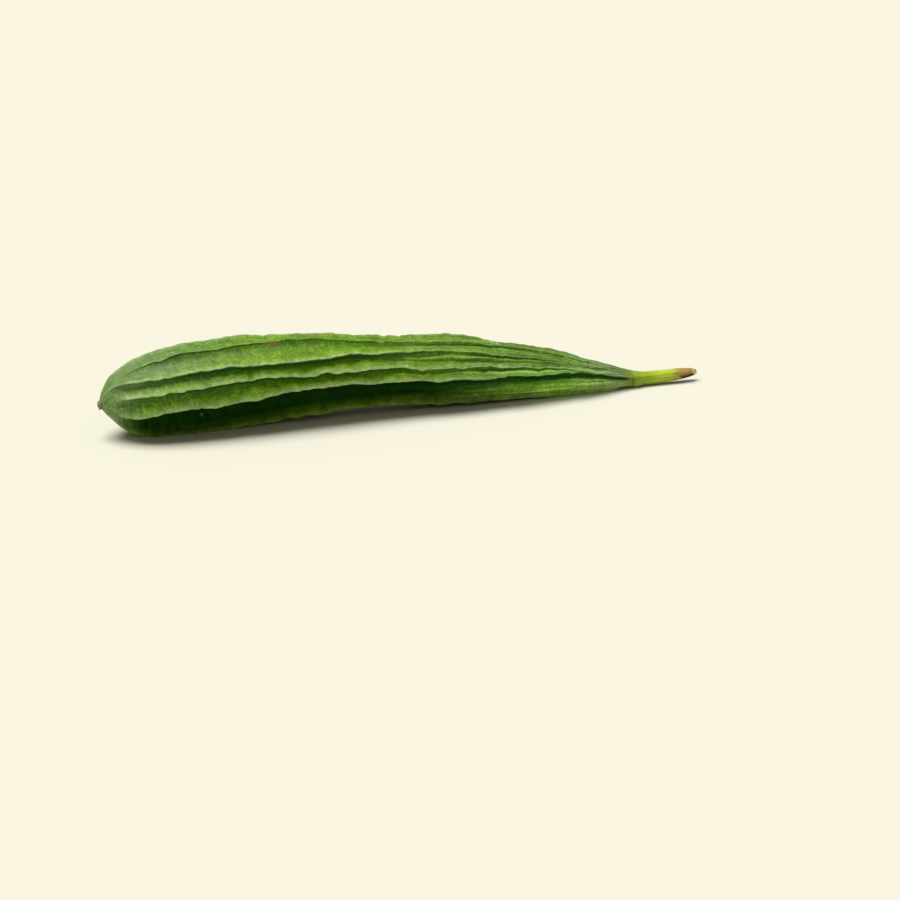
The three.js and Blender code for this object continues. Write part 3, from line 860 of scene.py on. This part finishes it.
def rindMaterial(look):
    # Luffa rind: living plant skin with a thin wax bloom. It gives a soft satin gloss over mottled greens,
    # paler and rougher where the ribs rub, greyer at both ends where the bloom is thickest. Light and shade
    # are
    # also painted into its colour: painted shadow beneath the crests, painted shade underneath and in the
    # folds' creases, painted light on the flanks facing up, on the top and on the neck's lower side, and a
    # painted sheen.
    material, tree = newMaterial("waxy_luffa_rind")
    spread = lambda value, name, ease=False: ranged(tree, value, look[name], ease)
    place = noted(tree, "skinPlace", 1)
    along, top, low = noted(tree, "along"), noted(tree, "top"), noted(tree, "low")
    crest, falls, under = noted(tree, "crest"), noted(tree, "falls"), noted(tree, "under")
    belly = noted(tree, "belly")
    roughness = look["noiseRoughness"]
    noises = {name: noiseOf(tree, place, *sizes, roughness) for name, sizes in look["noises"].items()}
    mottle = noises["mottle"]

    # painted shade and light: the green deepens beneath a crest and pales towards the next one down
    shifted = spread(mottle, "mottleShift")
    face = addNode(tree, "ValToRGB", Fac=worked(tree, "ADD", falls, shifted), stops=[
        (0.0, look["shadowBeneathCrest"]), (0.28, look["face"]),
        (0.62, look["litLowerFace"]), (0.95, look["lightAboveCrest"])])

    # broad patches, yellower and bluer
    face = covered(tree, spread(noises["patch"], "yellowPatches"), face, look["yellower"])
    face = covered(tree, spread(noises["patch"], "bluePatches"), face, look["bluer"])

    # painted light: the top faces lighter and yellower
    paintedTopLight = worked(tree, "MULTIPLY", spread(along, "paintedTopLightAlong", True), top)
    face = covered(tree, paintedTopLight, face, look["paintedTopLight"])

    # bloom over the blossom end, strongest on the top: a real wax bloom with a painted sheen; and the greyer
    # neck
    onNose = spread(along, "noseAlong", True)
    upper = worked(tree, "MAXIMUM", spread(top, "sheenOnTop"), onNose)
    bloomAndSheen = worked(tree, "MULTIPLY", spread(along, "bloomAndSheenAlong", True), upper)
    face = covered(tree, bloomAndSheen, face, look["bloomAndSheen"])
    face = covered(tree, spread(along, "neckAlong", True), face, look["neck"])
    face = covered(tree, spread(along, "stemEndAlong", True), face, look["stemEnd"])

    # painted shadow beneath each crest and painted shade underneath, both in deep green
    leeShadow = worked(tree, "MULTIPLY", under, spread(mottle, "leeMottle"), clamp=True)
    face = covered(tree, leeShadow, face, look["leeShadow"])
    # painted shade underneath, fading towards the lower crest
    underneath = worked(tree, "MULTIPLY", belly, spread(falls, "bellyFalls", True), clamp=True)
    face = covered(tree, underneath, face, look["belly"])

    # mottling, specks, grain, streaks, cross lines and folds, as shades of the colour beneath; the folds give
    # painted shade in their creases and painted light on their ridges, and the neck's lower side gets painted
    # light
    grain = evenNoise(tree, place, look["grainSize"], 2.0, 0.6)
    streaksHere = spread(along, "streaksAlong", True)
    streaks = spread(noises["streak"], "streakShade")
    streaks = worked(tree, "MULTIPLY_ADD", streaks, streaksHere, 1.0)
    crossesHere = between(tree, top, spread(along, "crossesAlong", True), 0.0)
    crosses = spread(noises["cross"], "crossShade")
    crosses = worked(tree, "MULTIPLY_ADD", crosses, crossesHere, 1.0)
    # painted light: the lower side of the neck made lighter, except beneath the crests
    lowNeckPaintedLight = spread(along, "lowNeckPaintedLightAlong", True)
    lowNeckPaintedLight = between(tree, under, between(tree, low, look["lowSideShade"], lowNeckPaintedLight), 1.0)
    shade = spread(mottle, "mottleShade")
    specks, dust = spread(noises["speck"], "speckShade"), spread(grain, "grainShade")
    creases = spread(noted(tree, "folds"), "foldLightAndShade")
    for factor in (specks, dust, streaks, crosses, lowNeckPaintedLight, creases):
        shade = worked(tree, "MULTIPLY", shade, factor)
    face = shadedBy(tree, face, shade)

    # the crests, rubbed pale and rough, the skin's torn edge at the stem, and the scars
    rubbed = worked(tree, "MULTIPLY", spread(mottle, "crestRubbing"), crest, clamp=True)
    face = covered(tree, rubbed, face, covered(tree, belly, look["crest"], look["bellyCrest"]))
    face = covered(tree, spread(along, "edgeAlong", True), face, look["edge"])
    face = covered(tree, noted(tree, "brown"), face, look["brown"])
    face = covered(tree, noted(tree, "pale"), face, look["pale"])

    # gloss is broken up by the mottling, and the bump carries the grain and the fine streaks
    gloss = spread(mottle, "mottleGloss")
    gloss = worked(tree, "MULTIPLY_ADD", crest, look["crestDullness"], gloss, clamp=True)
    height = worked(tree, "MULTIPLY_ADD", mottle, look["mottleHeight"], grain)
    height = worked(tree, "ADD", height, worked(tree, "MULTIPLY", noises["streak"], streaksHere))
    normal = addNode(tree, "Bump", Height=height, Strength=0.6, Distance=look["bumpHeight"] * mm)
    # painted shade in the shine too: it is dimmed where painted shadow and shade lie
    paintedShadeShare = worked(tree, "MAXIMUM", leeShadow, underneath, clamp=True)
    shine = spread(paintedShadeShare, "shineUnderPaintedShade")
    surfaced(tree, Base_Color=face, Roughness=gloss, Normal=normal, IOR=1.45, Specular_IOR_Level=shine,
             Subsurface_Weight=0.06, Subsurface_Radius=(0.4, 1.0, 0.2), Subsurface_Scale=1.5 * mm)
    return material


stalkLook = {
    "root": "#8ca82a",
    "green": "#96b010",
    "ripe": "#b6c832",
    "shaded": "#7aa400",
    "dry": "#ab9140",
    # painted shade on the dried part's underside
    "dryUndersideShade": "#2c1c0c",
    "cut": "#f2e8c6",
    "pith": "#d2c08c",
    "fibres": (14.0, 0.5, 2.0),  # length and width in millimetres, and detail
    "blotches": (5.0, 2.0, 3.0),
    "blotchShift": (0.3, 0.7, -3.0, 3.0),  # a value's low and high, and what they give
    "undersideShade": (0.25, 0.75, 0.0, 0.5),
    "drying": (23.0, 29.0, 0.0, 1.0),
    "dryUndersideShadeRange": (0.25, 0.55, 0.0, 1.0),
    "fibreShade": (0.3, 0.7, 0.75, 1.2),
    "cutEdge": (0.0, 0.15, 0.0, 1.0),
    "dryGloss": (0.0, 1.0, 0.42, 0.75),
    "bumpHeight": 0.25,
}


def stalkMaterial(look, length):
    # Green plant stem, cut and drying: smooth and faintly waxy near the fruit, brown and dull towards the
    # cut, with fine fibres running lengthwise, and painted shade on its underside.
    material, tree = newMaterial("drying_green_stalk")
    spread = lambda value, name, ease=False: ranged(tree, value, look[name], ease)
    place, along = noted(tree, "skinPlace", 1), noted(tree, "along")
    cut, underside = noted(tree, "cut"), noted(tree, "underside")
    fibres, blotches = noiseOf(tree, place, *look["fibres"]), noiseOf(tree, place, *look["blotches"])
    here = worked(tree, "ADD", along, spread(blotches, "blotchShift"))
    skin = addNode(tree, "ValToRGB", Fac=ranged(tree, here, (0.0, length, 0.0, 1.0)), stops=[
        (0.0, look["root"]), (0.17, look["green"]), (0.35, look["ripe"]), (0.6, look["ripe"]),
        (0.72, look["dry"]), (0.93, look["dry"]), (1.0, look["cut"])])
    # painted shade on the underside: deeper green, and dark brown on the dried part
    skin = covered(tree, spread(underside, "undersideShade"), skin, look["shaded"])
    dryness = spread(here, "drying", True)
    dryUndersideShade = worked(tree, "MULTIPLY", spread(underside, "dryUndersideShadeRange"), dryness)
    skin = covered(tree, dryUndersideShade, skin, look["dryUndersideShade"])
    skin = shadedBy(tree, skin, spread(fibres, "fibreShade"))
    cutColour = covered(tree, cut, look["cut"], look["pith"])
    skin = covered(tree, spread(cut, "cutEdge"), skin, cutColour)
    gloss = spread(dryness, "dryGloss")
    normal = addNode(tree, "Bump", Height=fibres, Strength=0.5, Distance=look["bumpHeight"] * mm)
    surfaced(tree, Base_Color=skin, Roughness=gloss, Normal=normal, IOR=1.45, Subsurface_Weight=0.08,
             Subsurface_Radius=(0.8, 1.0, 0.2), Subsurface_Scale=1.2 * mm)
    return material


cupLook = {
    "root": "#748752",
    "outside": "#75825e",
    "rim": "#868c74",
    "inside": "#5f6148",
    "fibreSize": 0.6,
    "fibreShade": (0.3, 0.7, 0.65, 1.25),  # the noise's low and high, and what they give
    "fibreGloss": (0.3, 0.7, 0.7, 0.95),
    "bumpHeight": 0.3,
}


def cupMaterial(look):
    # Withered flower tissue, dried to a papery crust: dull, grey-brown and fibrous.
    material, tree = newMaterial("withered_flower_crust")
    place = addNode(tree, "TexCoord", give=3)
    crust = evenNoise(tree, place, look["fibreSize"], 4.0, 0.65)
    skin = addNode(tree, "ValToRGB", Fac=noted(tree, "depth"), stops=[
        (0.0, look["root"]), (0.2, look["outside"]), (0.55, look["rim"]),
        (0.7, look["inside"]), (1.0, look["inside"])])
    skin = shadedBy(tree, skin, ranged(tree, crust, look["fibreShade"]))
    gloss = ranged(tree, crust, look["fibreGloss"])
    normal = addNode(tree, "Bump", Height=crust, Strength=0.8, Distance=look["bumpHeight"] * mm)
    surfaced(tree, Base_Color=skin, Roughness=gloss, Normal=normal, IOR=1.45)
    return material


rind.data.materials.append(rindMaterial(rindLook))
stalk.data.materials.append(stalkMaterial(stalkLook, stem["length"]))
witheredCup.data.materials.append(cupMaterial(cupLook))
for piece, node, slot in [(rind, "fruit", "fruit_rind"), (stalk, "stem", "green_stalk"),
                          (witheredCup, "dried_flower", "dried_flower")]:
    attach(piece, "root")
    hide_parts(node)
print("materials done")

stage = {
    "floorSize": 30.0,  # metres
    "floorColour": "#d8d5c6",
    "keyStrength": 3.62,
    "keyAngle": 45.0,
    "keyFrom": (-0.25, 0.15, 1.0),
    "skyColour": "#fbf6e4",
    "skyStrength": 0.3,
    "cameraTurn": -19.0,
    "cameraRise": 18.0,
    "cameraDistance": 1.1455,
    "aimRight": 39.4,  # millimetres from the middle of the fruit
    "aimUp": -43.7,
    "lens": 85.0,
}


def makeStage(s):
    # a wide pale tabletop, one broad soft lamp and an even sky, which the camera sees brighter than it lights
    half = s["floorSize"] / 2
    corners = [(-half, -half, 0), (half, -half, 0), (half, half, 0), (-half, half, 0)]
    mesh = bpy.data.meshes.new("floor")
    mesh.from_pydata(corners, [], [(0, 1, 2, 3)])
    material, tree = newMaterial("matt_tabletop")
    surfaced(tree, Base_Color=s["floorColour"], Roughness=0.95, Specular_IOR_Level=0.0)
    mesh.materials.append(material)
    newObject("floor", mesh)
    key = bpy.data.lights.new("skylight", "SUN")
    key.energy = s["keyStrength"]
    key.angle = np.radians(s["keyAngle"])
    lamp = newObject("skylight", key)
    lamp.rotation_euler = Vector(s["keyFrom"]).to_track_quat("Z", "Y").to_euler()
    world = bpy.data.worlds.new("studio")
    bpy.context.scene.world = world
    world.use_nodes = True
    tree = world.node_tree
    tree.nodes.clear()
    strength = ranged(tree, addNode(tree, "LightPath"), (0.0, 1.0, s["skyStrength"], 1.0))
    backdrop = addNode(tree, "Background", Color=s["skyColour"], Strength=strength)
    addNode(tree, "OutputWorld", Surface=backdrop)
    bpy.context.scene.view_settings.view_transform = "Standard"


def makeCamera(s):
    # stands off from a point beside the fruit's middle, round by the turn and up by the rise
    turn, rise = np.radians(s["cameraTurn"]), np.radians(s["cameraRise"])
    back = Vector((np.sin(turn) * np.cos(rise), -np.cos(turn) * np.cos(rise), np.sin(rise)))
    right = Vector((np.cos(turn), np.sin(turn), 0))
    above = back.cross(right)
    box = np.array(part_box("fruit"))
    aim = Vector((box[0] + box[1]) / 2) + s["aimRight"] * mm * right + s["aimUp"] * mm * above
    data = bpy.data.cameras.new("camera")
    data.lens = s["lens"]
    data.sensor_width = 36.0
    camera = newObject("camera", data)
    camera.location = aim + back * s["cameraDistance"]
    camera.rotation_euler = back.to_track_quat("Z", "Y").to_euler()
    bpy.context.scene.camera = camera


makeStage(stage)
makeCamera(stage)
